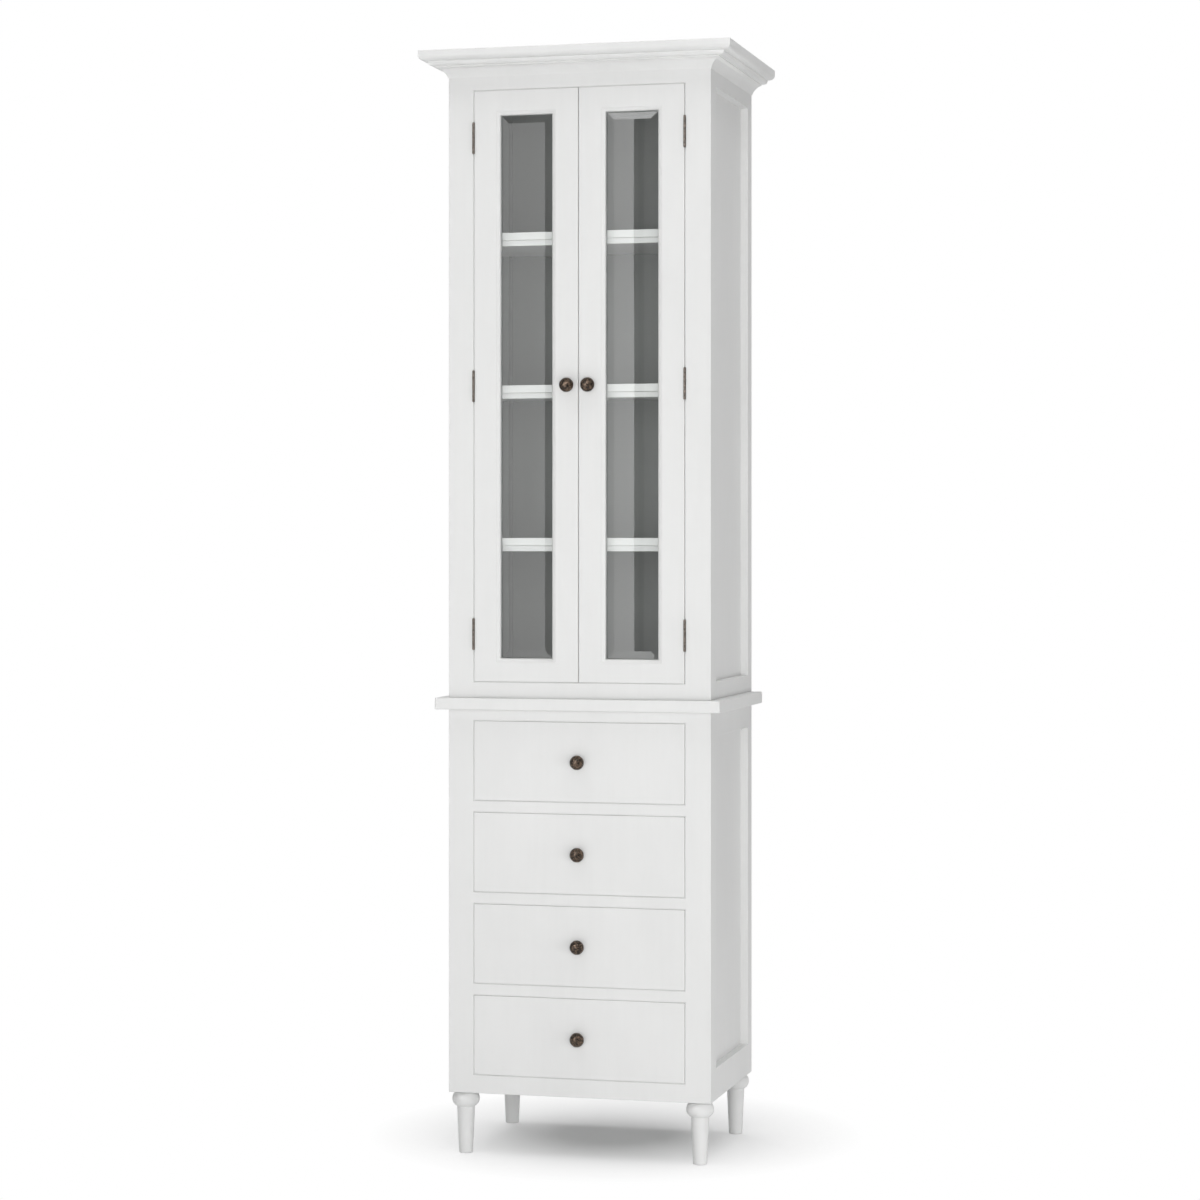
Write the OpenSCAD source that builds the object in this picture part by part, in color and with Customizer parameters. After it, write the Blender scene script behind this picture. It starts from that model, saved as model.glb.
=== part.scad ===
// Tall painted apothecary cabinet: two glazed doors above a waist board, four drawers below.
// Millimetres, +Z up, front towards -Y. The origin is on the floor, under the middle of the whole object.

/* [Case] */
// Height from the floor to the top of the crown
total_h = 2150; // [2100:10:2200]
// Width of the case across the face frame
case_w = 524; // [500:4:560]
// Depth of the case from face frame to back
case_d = 380; // [360:5:420]
// Height of the lower case that holds the drawers
base_h = 748; // [720:4:780]
// Thickness of the face frame, the doors and the drawer fronts
face_t = 20; // [18:1:22]
// Width of the face frame's stiles
stile_w = 50; // [44:1:54]
// Thickness of the frames in the sides
side_t = 22; // [20:1:24]
// Thickness of the panels in the sides
side_panel_t = 7; // [5:1:9]
// Visible width of each side's front and back stiles
side_stile_w = 36; // [32:1:44]
// Thickness of the back panels
back_t = 6; // [5:1:8]

/* [Mouldings] */
// How far the crown stands out at the front and sides
crown_out = 48; // [44:1:54]
// Height of the crown
crown_h = 49; // [47:1:54]
// Thickness of the waist board
waist_t = 23; // [20:1:26]
// How far the waist board stands out at the front and sides
waist_out = 22; // [16:1:28]

/* [Rails] */
// Visible height of the rail above the doors
top_rail_h = 26; // [20:1:34]
// Height of the rail under the doors
door_sill_h = 30; // [24:1:36]
// Height of the rails between the drawers
divider_h = 21; // [18:1:24]
// Height of the rail under the lowest drawer
bottom_rail_h = 35; // [30:1:44]

/* [Doors] */
// Gap around each door and drawer front
gap = 1.5; // [1.2:0.1:2]
// Width of the door stiles
door_stile_w = 45.5; // [42:0.5:50]
// Height of the door's top rail
door_top_rail_h = 41.5; // [38:0.5:48]
// Height of the door's bottom rail
door_bottom_rail_h = 38.5; // [36:0.5:48]
// Width of the glazing beads
bead_w = 7; // [6:0.5:9]
// Thickness of the glass
glass_t = 5; // [4:0.5:6]
// Width of the bevel around the glass
glass_bevel = 22; // [16:1:26]

/* [Hinges] */
// Length of each hinge
hinge_l = 60; // [50:2:70]
// Distance from a door's end to the middle of its hinge
hinge_end = 92; // [70:2:120]
// Radius of the hinge knuckle
knuckle_r = 2.5; // [2.3:0.1:2.8]

/* [Shelves] */
// Thickness of the shelf boards
shelf_t = 15; // [12:1:18]
// Height of the batten under each shelf's front edge
batten_h = 11; // [8:1:12]

/* [Drawers] */
// Height of the drawer boxes
box_h = 120; // [90:5:120]
// Length of the drawer boxes behind their fronts
box_l = 296; // [260:4:308]
// Thickness of the drawer boxes' sides and backs
box_t = 12; // [10:1:14]
// Thickness of the drawer bottoms
box_bottom_t = 6; // [5:0.5:7]

/* [Knobs and legs] */
// Diameter of the knobs
knob_d = 28; // [24:1:32]
// How far a knob stands out
knob_out = 24; // [22:1:30]
// Distance from a door's meeting edge to its knob
knob_inset = 20; // [18:1:24]
// Height of the legs
leg_h = 121; // [110:1:130]
// Diameter of the ball at the top of each leg
leg_ball_d = 54; // [48:1:54]
// Diameter of the leg under its ball
leg_d = 35; // [30:1:38]
// Diameter of the leg at the floor
foot_d = 27; // [22:1:30]

/* [Hidden] */
$fn = 64;

paint = [0.91, 0.91, 0.90];
inner_paint = [0.83, 0.84, 0.83];
bronze = [0.24, 0.15, 0.11];
steel = [0.62, 0.63, 0.64];
glass_tint = [0.52, 0.55, 0.54, 0.55];
raw_wood = [0.84, 0.76, 0.63];

// Depth positions, front to back
case_y0 = (crown_out - case_d) / 2;
case_y1 = case_y0 + case_d;
face_y1 = case_y0 + face_t;
back_y0 = case_y1 - back_t;

// Widths from the middle
outer_x = case_w / 2;
inner_x = outer_x - side_t;
open_x = outer_x - stile_w;
waist_x = outer_x + waist_out;

// Heights
base_z1 = leg_h + base_h;
waist_z1 = base_z1 + waist_t;
crown_z0 = total_h - crown_h;
door_z0 = waist_z1 + door_sill_h + gap;
door_z1 = crown_z0 - top_rail_h - gap;
door_mid_z = (door_z0 + door_z1) / 2;

// Case boards
board_t = 18;
upper_floor_t = 13;
ceiling_z = total_h - board_t;
rebate = 8;
back_rebate = 14;
glue_gap = 0.1;
side_top_hidden_h = crown_h + 31;
upper_side_bottom_h = 34;
base_side_top_h = 48;
base_side_bottom_h = 61;

// Four equal compartments behind the doors
floor_z = waist_z1 + upper_floor_t;
ceiling_drop = 4;
bay_h = (crown_z0 - ceiling_drop - floor_z) / 4;
shelf_y0 = face_y1 + 10;
shelf_end_gap = 1;
batten_set_back = 4;
batten_t = 12;
pin_r = 2.5;
pin_hole_l = 9;
shelf_pin_ys = [face_y1 + 16, case_y1 - 20];

// Doors
door_x0 = 1;
door_x1 = open_x - gap - 0.25;
door_open_x0 = door_x0 + door_stile_w;
door_open_x1 = door_x1 - door_stile_w;
door_open_z0 = door_z0 + door_bottom_rail_h;
door_open_z1 = door_z1 - door_top_rail_h;
bead_step = 1;
bead_slope = 4.5;
glass_y0 = case_y0 + 8;
glass_edge_t = glass_t / 2;
glass_clear = 0.5;

// Hinges
hinge_zs = [door_z0 + hinge_end, door_mid_z, door_z1 - hinge_end];
hinge_x = (door_x1 + open_x) / 2;
hinge_y = case_y0 - 1.6;
hinge_pin_r = 1.25;
running_gap = 0.05;
leaf_t = 1;
leaf_gap = 0.275;
leaf_w = 18;
knuckle_l = hinge_l / 3;
knuckle_end_gap = 0.15;
knuckle_clear = 0.4;

// Catches
catch_x0 = 12;
catch_w = 38;
catch_d = 18;
catch_lip_h = 22;
plate_t = 1;

// Drawers
drawer_pitch = (base_h - bottom_rail_h) / 4;
drawer_open_h = drawer_pitch - divider_h;
front_x = open_x - gap;
box_x = front_x - 1.5;
box_lift = 6;
groove_lift = 8;
groove_d = 6;
slide_gap = 0.5;
runner_t = 12;
runner_guide_h = 26;
runner_in = 14;

// Knobs
knob_base_r = 8.5;
knob_neck_r = 5.5;
bolt_r = 2;
bolt_head_r = 4.5;
bolt_head_h = 2.6;

// Legs
leg_x = outer_x - leg_ball_d / 2;
leg_ys = [case_y0 + leg_ball_d / 2, case_y1 - 29];
leg_ball_r = 16.5;
leg_ball_drop = 15;
leg_bolt_r = 4;
leg_bolt_depth = 40;

function drawer_z(i) = leg_h + bottom_rail_h + i * drawer_pitch;
function shelf_z(i) = floor_z + i * bay_h;

// A board between two opposite corners
module board(lo, hi) {
  translate(lo) cube(hi - lo);
}

// The same shape on both sides of the middle
module both_sides() {
  children();
  mirror([1, 0, 0]) children();
}

// The shape on one side: 1 is the right, -1 the left
module on_side(s) {
  if (s > 0) children();
  else mirror([1, 0, 0]) children();
}

// ---- Case ----

// Frame of one side: two stiles and two rails, rebated inside for the panel
module side_frame(z0, z1, bottom_h, top_h) {
  front_y = face_y1 + side_stile_w - 6;
  back_y = case_y1 - side_stile_w;
  panel_x = inner_x + side_panel_t;
  difference() {
    union() {
      board([inner_x, face_y1, z0], [outer_x, front_y, z1]);
      board([inner_x, back_y, z0], [outer_x, case_y1, z1]);
      for (zs = [[z0, z0 + bottom_h], [z1 - top_h, z1]])
        board([inner_x, front_y + glue_gap, zs[0]], [outer_x, back_y - glue_gap, zs[1]]);
    }
    board([inner_x - 1, front_y - rebate, z0 + bottom_h - rebate],
          [panel_x, back_y + rebate, z1 - top_h + rebate]);
    board([inner_x - 1, back_y0, z0 - 1], [inner_x + back_rebate, case_y1 + 1, z1 + 1]);
  }
}

// Panel that fills the rebate of one side frame
module side_panel(z0, z1, bottom_h, top_h) {
  board([inner_x, face_y1 + side_stile_w - 6 - rebate, z0 + bottom_h - rebate],
        [inner_x + side_panel_t, case_y1 - side_stile_w + rebate, z1 - top_h + rebate]);
}

module upper_side_frames() {
  color(paint) both_sides() difference() {
    side_frame(waist_z1, total_h, upper_side_bottom_h, side_top_hidden_h);
    for (i = [1:3], y = shelf_pin_ys)
      translate([inner_x - 1, y, shelf_z(i) - shelf_t - pin_r])
        rotate([0, 90, 0]) cylinder(r = pin_r, h = pin_hole_l + 1);
  }
}

module upper_side_panels() {
  color(paint) both_sides() side_panel(waist_z1, total_h, upper_side_bottom_h, side_top_hidden_h);
}

module base_side_frames() {
  color(paint) both_sides() side_frame(leg_h, base_z1, base_side_bottom_h, base_side_top_h);
}

module base_side_panels() {
  color(paint) both_sides() side_panel(leg_h, base_z1, base_side_bottom_h, base_side_top_h);
}

// Stiles of the upper face frame, cut out for the hinges
module upper_front_stiles() {
  color(paint) both_sides() difference() {
    board([open_x, case_y0, waist_z1], [outer_x, face_y1, total_h]);
    for (z = hinge_zs) {
      translate([hinge_x, hinge_y, z - hinge_l / 2 - knuckle_clear])
        cylinder(r = knuckle_r + knuckle_clear, h = hinge_l + 2 * knuckle_clear);
      board([open_x - 1, case_y0 - 1, z - hinge_l / 2],
            [hinge_x + leaf_gap + leaf_t, hinge_y + leaf_w, z + hinge_l / 2]);
    }
  }
}

module upper_front_rails() {
  color(paint) {
    board([-open_x, case_y0, waist_z1], [open_x, face_y1, waist_z1 + door_sill_h]);
    board([-open_x, case_y0, door_z1 + gap], [open_x, face_y1, total_h]);
  }
}

module base_front_stiles() {
  color(paint) both_sides() board([open_x, case_y0, leg_h], [outer_x, face_y1, base_z1]);
}

// Bottom rail and the four rails above the drawers
module base_front_rails() {
  color(paint) {
    board([-open_x, case_y0, leg_h], [open_x, face_y1, leg_h + bottom_rail_h]);
    for (i = [0:3])
      board([-open_x, case_y0, drawer_z(i) + drawer_open_h], [open_x, face_y1, drawer_z(i + 1)]);
  }
}

module case_back(z0, z1) {
  color(inner_paint)
    board([-inner_x - back_rebate, back_y0, z0], [inner_x + back_rebate, case_y1, z1]);
}

module upper_back() { case_back(waist_z1, total_h); }
module base_back() { case_back(leg_h, base_z1); }

// A level board between the two sides
module case_board(z0, z1) {
  board([-inner_x, face_y1, z0], [inner_x, back_y0, z1]);
}

module upper_floor() { color(inner_paint) case_board(waist_z1, floor_z); }
module upper_top() { color(paint) case_board(ceiling_z, total_h); }

module base_floor() {
  color(inner_paint) difference() {
    case_board(leg_h, leg_h + board_t);
    both_sides() for (y = leg_ys)
      translate([leg_x, y, leg_h - 1]) cylinder(r = leg_bolt_r, h = board_t + 2);
  }
}

module waist_board() {
  color(paint) board([-waist_x, case_y0 - waist_out, base_z1], [waist_x, case_y1, waist_z1]);
}

// A shelf with a batten under its front edge
module shelf(i) {
  z = shelf_z(i);
  x = inner_x - shelf_end_gap;
  color(inner_paint) {
    board([-x, shelf_y0, z - shelf_t], [x, back_y0 - shelf_end_gap, z]);
    board([-open_x, shelf_y0 + batten_set_back, z - shelf_t - batten_h],
          [open_x, shelf_y0 + batten_set_back + batten_t, z - shelf_t - 0.2]);
  }
}

module shelf_lower() { shelf(1); }
module shelf_middle() { shelf(2); }
module shelf_upper() { shelf(3); }

module shelf_pins() {
  color(steel) both_sides() for (i = [1:3], y = shelf_pin_ys)
    translate([inner_x - 8, y, shelf_z(i) - shelf_t - pin_r])
      rotate([0, 90, 0]) cylinder(r = pin_r, h = pin_hole_l + 8);
}

// ---- Crown ----

// Section of the crown: x is how far it stands out, y is its height
module crown_section() {
  nose_r = 10;
  ovolo_r = 7;
  cove_r = 30;
  top = crown_h;
  nose_z = top - 20;
  ovolo_z = nose_z - 8;
  fillet_z = ovolo_z - 2;
  nose_x = crown_out - nose_r;
  ovolo_x = crown_out - 22;
  cove_x = crown_out - 27.5;
  chord = norm([cove_x - 1, fillet_z]);
  depth = sqrt(cove_r * cove_r - chord * chord / 4);
  translate([0, nose_z + nose_r]) square([crown_out, top - nose_z - nose_r]);
  translate([0, nose_z]) square([nose_x, nose_r]);
  translate([nose_x, nose_z + nose_r]) circle(r = nose_r);
  translate([0, nose_z - 1]) square([crown_out - 15, 1]);
  translate([0, ovolo_z]) square([ovolo_x, ovolo_r]);
  translate([ovolo_x, ovolo_z + ovolo_r]) intersection() {
    circle(r = ovolo_r);
    translate([0, -ovolo_r]) square(ovolo_r);
  }
  translate([0, fillet_z]) square([cove_x, 2]);
  difference() {
    polygon([[0, 0], [1, 0], [cove_x, fillet_z], [0, fillet_z]]);
    translate([(cove_x + 1) / 2 + depth * fillet_z / chord, fillet_z / 2 - depth * (cove_x - 1) / chord])
      circle(r = cove_r);
  }
}

// Straight length of crown whose back is the plane x = 0, running along y
module crown_length(l) {
  rotate([90, 0, 0]) translate([0, 0, -l]) linear_extrude(l) crown_section();
}

// Half space beyond the mitre at the right front corner, turned to keep one side
module mitre_wedge(angle) {
  translate([outer_x, case_y0, crown_z0 - 1]) rotate([0, 0, angle]) translate([-200, 0, 0])
    cube([400, 200, crown_h + 2]);
}

module crown_front() {
  color(paint) difference() {
    translate([-outer_x - crown_out, case_y0, crown_z0])
      rotate([0, 0, -90]) crown_length(2 * (outer_x + crown_out));
    both_sides() mitre_wedge(-45);
  }
}

module crown_sides() {
  color(paint) both_sides() difference() {
    translate([outer_x, case_y0 - crown_out, crown_z0]) crown_length(case_d + crown_out);
    translate([0, glue_gap, 0]) mitre_wedge(135);
  }
}

// ---- Hinges ----

// Barrel from z0 to z1, measured from the middle of the hinge
module barrel(z0, z1, r) {
  translate([hinge_x, hinge_y, z0]) cylinder(r = r, h = z1 - z0);
}

// One leaf: side is 1 for the leaf on the case and -1 for the leaf on the door
module leaf(side) {
  half = hinge_l / 2;
  third = knuckle_l / 2;
  own = side > 0 ? [[-half, -third - knuckle_end_gap], [third + knuckle_end_gap, half]]
                 : [[-third + knuckle_end_gap, third - knuckle_end_gap]];
  other = side > 0 ? [[-third - knuckle_end_gap, third + knuckle_end_gap]]
                   : [[-half - 1, -third + knuckle_end_gap], [third - knuckle_end_gap, half + 1]];
  near_x = hinge_x + (side > 0 ? leaf_gap : -leaf_gap - leaf_t);
  bore_r = hinge_pin_r + (side > 0 ? 0 : running_gap);
  difference() {
    union() {
      for (s = own) barrel(s[0], s[1], knuckle_r);
      board([near_x, hinge_y, -half], [near_x + leaf_t, hinge_y + leaf_w, half]);
    }
    for (s = other) barrel(s[0], s[1], knuckle_r + knuckle_clear);
    barrel(-half - 1, half + 1, bore_r);
  }
}

module leaves(side) {
  color(bronze) for (z = hinge_zs) translate([0, 0, z]) leaf(side);
}

module hinge_frame_leaves() { both_sides() leaves(1); }

// Pins with a small head on the top knuckle
module hinge_pins() {
  head_r = 2.1;
  head_h = 1;
  color(bronze) both_sides() for (z = hinge_zs) translate([0, 0, z]) {
    barrel(-hinge_l / 2, hinge_l / 2, hinge_pin_r);
    barrel(hinge_l / 2, hinge_l / 2 + head_h, head_r);
  }
}

module door_catches() {
  lip_z = door_z1 + gap;
  color(raw_wood) both_sides() {
    board([catch_x0, face_y1, lip_z + 1], [catch_x0 + catch_w, face_y1 + catch_d, lip_z + 20]);
    board([catch_x0, face_y1 + plate_t + 0.6, lip_z - catch_lip_h],
          [catch_x0 + catch_w, face_y1 + catch_d, lip_z + 1]);
  }
}

// ---- Doors: drawn on the right, mirrored for the left ----

module knob_bore(x, z) {
  translate([x, case_y0 - 1, z]) rotate([-90, 0, 0]) cylinder(r = bolt_r, h = face_t + 2);
}

module door_stiles(s) {
  color(paint) on_side(s) difference() {
    union() {
      board([door_x0, case_y0, door_z0], [door_open_x0, face_y1, door_z1]);
      board([door_open_x1, case_y0, door_z0], [door_x1, face_y1, door_z1]);
    }
    knob_bore(knob_inset + door_x0, door_mid_z);
    for (z = hinge_zs) {
      translate([hinge_x, hinge_y, z - hinge_l / 2 - 1])
        cylinder(r = knuckle_r + knuckle_clear, h = hinge_l + 3);
      board([hinge_x - leaf_gap - leaf_t, case_y0 - 1, z - hinge_l / 2],
            [door_x1 + 1, hinge_y + leaf_w, z + hinge_l / 2]);
    }
  }
}

module door_rails(s) {
  color(paint) on_side(s) {
    board([door_open_x0, case_y0, door_z0], [door_open_x1, face_y1, door_open_z0]);
    board([door_open_x0, case_y0, door_open_z1], [door_open_x1, face_y1, door_z1]);
  }
}

// Bevelled pane: a tapered section along its height cut by the same section along its width
module door_glass(s) {
  x0 = door_open_x0 + glass_clear;
  x1 = door_open_x1 - glass_clear;
  z0 = door_open_z0 + glass_clear;
  z1 = door_open_z1 - glass_clear;
  y0 = glass_y0;
  y1 = glass_y0 + glass_t;
  ye = y1 - glass_edge_t;
  color(glass_tint) on_side(s) intersection() {
    translate([0, 0, z0]) linear_extrude(z1 - z0)
      polygon([[x0, y1], [x0, ye], [x0 + glass_bevel, y0], [x1 - glass_bevel, y0], [x1, ye], [x1, y1]]);
    translate([x0, 0, 0]) rotate([90, 0, 90]) linear_extrude(x1 - x0)
      polygon([[y1, z0], [ye, z0], [y0, z0 + glass_bevel], [y0, z1 - glass_bevel], [ye, z1], [y1, z1]]);
  }
}

// Front bead section: x away from the door frame, y backwards from the door's face
module front_bead_section() {
  translate([0, bead_step]) intersection() {
    square([bead_w, glass_y0 - case_y0 - bead_step]);
    union() {
      polygon([[0, 0], [1.5, 0], [bead_w, bead_slope], [bead_w, 20], [0, 20]]);
      translate([1.5, bead_w]) circle(r = bead_w - 0.4);
    }
  }
}

// Bead along the pane's left edge, then its bottom edge, cut to mitres and repeated by mirrors
module bead_run(w, h) {
  mitre = glue_gap / 2;
  translate([0, case_y0, 0]) {
    intersection() {
      linear_extrude(h) front_bead_section();
      rotate([90, 0, 0]) translate([0, 0, -30]) linear_extrude(60)
        polygon([[0, mitre], [w / 2, w / 2 + mitre], [w / 2, h - w / 2 - mitre], [0, h - mitre]]);
    }
    intersection() {
      translate([w, 0, 0]) rotate([0, -90, 0]) linear_extrude(w) front_bead_section();
      rotate([90, 0, 0]) translate([0, 0, -30]) linear_extrude(60)
        polygon([[mitre, 0], [w - mitre, 0], [w / 2, w / 2 - mitre]]);
    }
  }
}

// Square strips behind the glass
module rear_beads(x0, x1, z0, z1) {
  y0 = glass_y0 + glass_t;
  y1 = face_y1 - bead_step;
  for (x = [x0, x1 - bead_w]) board([x, y0, z0], [x + bead_w, y1, z1]);
  for (z = [z0, z1 - bead_w])
    board([x0 + bead_w + glue_gap, y0, z], [x1 - bead_w - glue_gap, y1, z + bead_w]);
}

module door_beads(s) {
  w = door_open_x1 - door_open_x0;
  h = door_open_z1 - door_open_z0;
  color(paint) on_side(s) {
    translate([door_open_x0, 0, door_open_z0]) {
      bead_run(w, h);
      translate([w, 0, h]) rotate([0, 180, 0]) bead_run(w, h);
    }
    rear_beads(door_open_x0, door_open_x1, door_open_z0, door_open_z1);
  }
}

// Knob with its bolt: base on the face at y = case_y0, bolt head behind the board
module knob(x, z) {
  r = knob_d / 2;
  dome_r = 15.5;
  dome_z = knob_out - dome_r;
  color(bronze) translate([x, case_y0, z]) rotate([90, 0, 0]) {
    rotate_extrude() {
      square([knob_base_r, 2]);
      square([knob_neck_r, knob_out - 8]);
      translate([0, knob_out - 15]) square([r - 3, 5]);
      translate([r - 3, knob_out - 12]) circle(r = 3);
      intersection() {
        translate([0, dome_z]) circle(r = dome_r);
        translate([0, knob_out - 12]) square([r - 1, 12]);
      }
    }
    translate([0, 0, -face_t]) cylinder(r = bolt_r, h = face_t + 1);
    translate([0, 0, -face_t - bolt_head_h]) cylinder(r = bolt_head_r, h = bolt_head_h);
  }
}

module door_knob(s) { on_side(s) knob(knob_inset + door_x0, door_mid_z); }
module door_leaves(s) { on_side(s) leaves(-1); }

module catch_plate(s) {
  color(steel) on_side(s)
    board([catch_x0 + 4, face_y1, door_z1 - 18], [catch_x0 + catch_w - 4, face_y1 + plate_t, door_z1 - 4]);
}

// ---- Drawers: i is 0 for the lowest ----

module drawer_front(i) {
  color(paint) difference() {
    board([-front_x, case_y0, drawer_z(i) + gap], [front_x, face_y1, drawer_z(i) + drawer_open_h - gap]);
    knob_bore(0, drawer_z(i) + drawer_open_h / 2);
  }
}

module drawer_sides(i) {
  z = drawer_z(i) + gap + box_lift;
  color(raw_wood) both_sides() difference() {
    board([box_x - box_t, face_y1, z], [box_x, face_y1 + box_l, z + box_h]);
    board([box_x - box_t - 1, face_y1 - 1, z + groove_lift],
          [box_x - box_t + groove_d, face_y1 + box_l + 1, z + groove_lift + box_bottom_t]);
  }
}

module drawer_bottom(i) {
  z = drawer_z(i) + gap + box_lift + groove_lift;
  x = box_x - box_t + groove_d;
  color(raw_wood) board([-x, face_y1, z], [x, face_y1 + box_l, z + box_bottom_t]);
}

module drawer_back(i) {
  z = drawer_z(i) + gap + box_lift;
  x = box_x - box_t;
  color(raw_wood) board([-x, face_y1 + box_l - box_t, z + groove_lift + box_bottom_t],
                        [x, face_y1 + box_l, z + box_h - 4]);
}

module drawer_knob(i) { knob(0, drawer_z(i) + drawer_open_h / 2); }

// Ledge under each drawer side and the guide strip glued on it, beside the drawer
module drawer_runners() {
  color(raw_wood) both_sides() for (i = [0:3]) {
    z = drawer_z(i) + gap + box_lift - slide_gap;
    board([box_x - runner_in, face_y1, z - runner_t], [inner_x, back_y0, z]);
    board([box_x + slide_gap, face_y1, z + glue_gap], [inner_x, back_y0, z + runner_guide_h]);
  }
}

// ---- Legs ----

module leg() {
  ball_x = leg_ball_d / 2 - leg_ball_r;
  ball_z = leg_h - leg_ball_drop;
  neck_z = ball_z - 16;
  difference() {
    rotate_extrude() {
      polygon([[0, 0], [foot_d / 2 - 1, 0], [foot_d / 2, 1], [leg_d / 2, neck_z], [leg_d / 2, ball_z], [0, ball_z]]);
      intersection() {
        union() {
          translate([ball_x, ball_z]) circle(r = leg_ball_r);
          translate([0, ball_z - leg_ball_r]) square([ball_x, 2 * leg_ball_r]);
        }
        square([leg_ball_d, leg_h]);
      }
    }
    translate([0, 0, leg_h - leg_bolt_depth]) cylinder(r = leg_bolt_r, h = leg_bolt_depth + 1);
  }
}

module at_legs() {
  both_sides() for (y = leg_ys) translate([leg_x, y, 0]) children();
}

module legs() { color(paint) at_legs() leg(); }

module leg_bolts() {
  color(steel) at_legs()
    translate([0, 0, leg_h - leg_bolt_depth]) cylinder(r = leg_bolt_r, h = leg_bolt_depth + board_t);
}

upper_front_stiles();
upper_front_rails();
upper_side_frames();
upper_side_panels();
upper_back();
upper_floor();
upper_top();
shelf_upper();
shelf_middle();
shelf_lower();
shelf_pins();
crown_front();
crown_sides();
hinge_frame_leaves();
hinge_pins();
door_catches();
waist_board();
base_front_stiles();
base_front_rails();
base_side_frames();
base_side_panels();
base_back();
base_floor();
drawer_runners();
legs();
leg_bolts();
door_stiles(-1);  // door_left_stiles
door_rails(-1);  // door_left_rails
door_glass(-1);  // door_left_glass
door_beads(-1);  // door_left_beads
door_knob(-1);  // door_left_knob
door_leaves(-1);  // door_left_hinge_leaves
catch_plate(-1);  // door_left_catch_plate
door_stiles(1);  // door_right_stiles
door_rails(1);  // door_right_rails
door_glass(1);  // door_right_glass
door_beads(1);  // door_right_beads
door_knob(1);  // door_right_knob
door_leaves(1);  // door_right_hinge_leaves
catch_plate(1);  // door_right_catch_plate
drawer_front(0);  // drawer_1_front
drawer_sides(0);  // drawer_1_sides
drawer_back(0);  // drawer_1_back
drawer_bottom(0);  // drawer_1_bottom
drawer_knob(0);  // drawer_1_knob
drawer_front(1);  // drawer_2_front
drawer_sides(1);  // drawer_2_sides
drawer_back(1);  // drawer_2_back
drawer_bottom(1);  // drawer_2_bottom
drawer_knob(1);  // drawer_2_knob
drawer_front(2);  // drawer_3_front
drawer_sides(2);  // drawer_3_sides
drawer_back(2);  // drawer_3_back
drawer_bottom(2);  // drawer_3_bottom
drawer_knob(2);  // drawer_3_knob
drawer_front(3);  // drawer_4_front
drawer_sides(3);  // drawer_4_sides
drawer_back(3);  // drawer_4_back
drawer_bottom(3);  // drawer_4_bottom
drawer_knob(3);  // drawer_4_knob
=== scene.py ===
import math
import bmesh
import bpy
import numpy as np
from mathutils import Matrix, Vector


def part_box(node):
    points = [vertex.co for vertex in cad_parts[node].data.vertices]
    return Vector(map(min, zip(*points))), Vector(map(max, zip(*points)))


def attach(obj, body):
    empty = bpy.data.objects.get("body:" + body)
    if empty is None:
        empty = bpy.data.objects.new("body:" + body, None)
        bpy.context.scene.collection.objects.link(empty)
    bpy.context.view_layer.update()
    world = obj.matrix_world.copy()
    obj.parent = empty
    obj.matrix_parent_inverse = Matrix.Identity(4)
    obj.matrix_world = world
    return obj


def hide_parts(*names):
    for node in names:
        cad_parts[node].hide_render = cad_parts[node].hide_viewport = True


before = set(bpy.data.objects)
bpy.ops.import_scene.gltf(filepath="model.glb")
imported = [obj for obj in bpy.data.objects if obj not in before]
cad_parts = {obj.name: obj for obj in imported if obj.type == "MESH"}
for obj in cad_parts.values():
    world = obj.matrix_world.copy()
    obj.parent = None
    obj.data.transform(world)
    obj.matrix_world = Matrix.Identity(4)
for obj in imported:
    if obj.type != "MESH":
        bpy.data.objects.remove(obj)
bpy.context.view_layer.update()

# ---------------------------------------------------------------- sizes, in metres
MM = 0.001

# Gaps, rebates and softened edges of the boards
DOOR_GAP = 1.5 * MM
REBATE = 8 * MM
BACK_REBATE = 14 * MM
WALL_GAP = 0.3 * MM
PANEL_IN = 3 * MM
ARRIS = 1 * MM
FINE_ARRIS = 0.8 * MM

# Hinges: knuckles round the pin, leaves behind it, and the beds that the leaves lie in
HINGE_FROM_END = 92 * MM
HALF_HINGE = 30 * MM
KNUCKLE_R = 2.5 * MM
KNUCKLE_CLEAR = 0.4 * MM
KNUCKLE_END_GAP = 0.15 * MM
LEAF_T = 1 * MM
LEAF_GAP = 0.275 * MM
LEAF_W = 18 * MM
LEAF_SET_BACK = 3 * MM
BED_SIDE = 1 * MM
BED_FRONT = 3 * MM

# Shelves, drawers and legs
BATTEN_SET_BACK = 4 * MM
BATTEN_T = 12 * MM
SHELF_T = 15 * MM
SHELF_PIN_R = 2.5 * MM
SHELF_PIN_DEPTH = 8 * MM
DRAWER_SIDE_T = 12 * MM
LEG_R = 27 * MM

# Screws of a leaf: how far above its middle, and how far behind the hinge pin
SCREWS = [[-22 * MM, 9 * MM], [0, 12.5 * MM], [22 * MM, 9 * MM]]

# Where the room inside the upper case ends: at the sides, at the front and at the back
INNER_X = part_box("upper_floor")[1][0]
INSIDE_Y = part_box("upper_front_stiles")[1][1]
BACK_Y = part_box("upper_back")[0][1]

WHITE = (1.0, 1.0, 1.0, 1.0)


def corners(node):
    """Lowest and highest corner of a part of the frame, as arrays."""
    low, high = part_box(node)
    return np.array(low), np.array(high)


# ---------------------------------------------------------------- surfaces
def grid_quads(rows, columns, closed=False):
    """Quads between neighbouring points of a grid numbered row by row.
    When closed, the last row joins the first as well. The columns always close into rings."""
    i = np.arange(rows if closed else rows - 1)[:, None]
    j = np.arange(columns)[None, :]
    below = (i + 1) % rows
    beside = (j + 1) % columns
    quads = [i * columns + j, i * columns + beside, below * columns + beside, below * columns + j]
    return np.stack(np.broadcast_arrays(*quads), -1).reshape(-1, 4).tolist()


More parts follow.
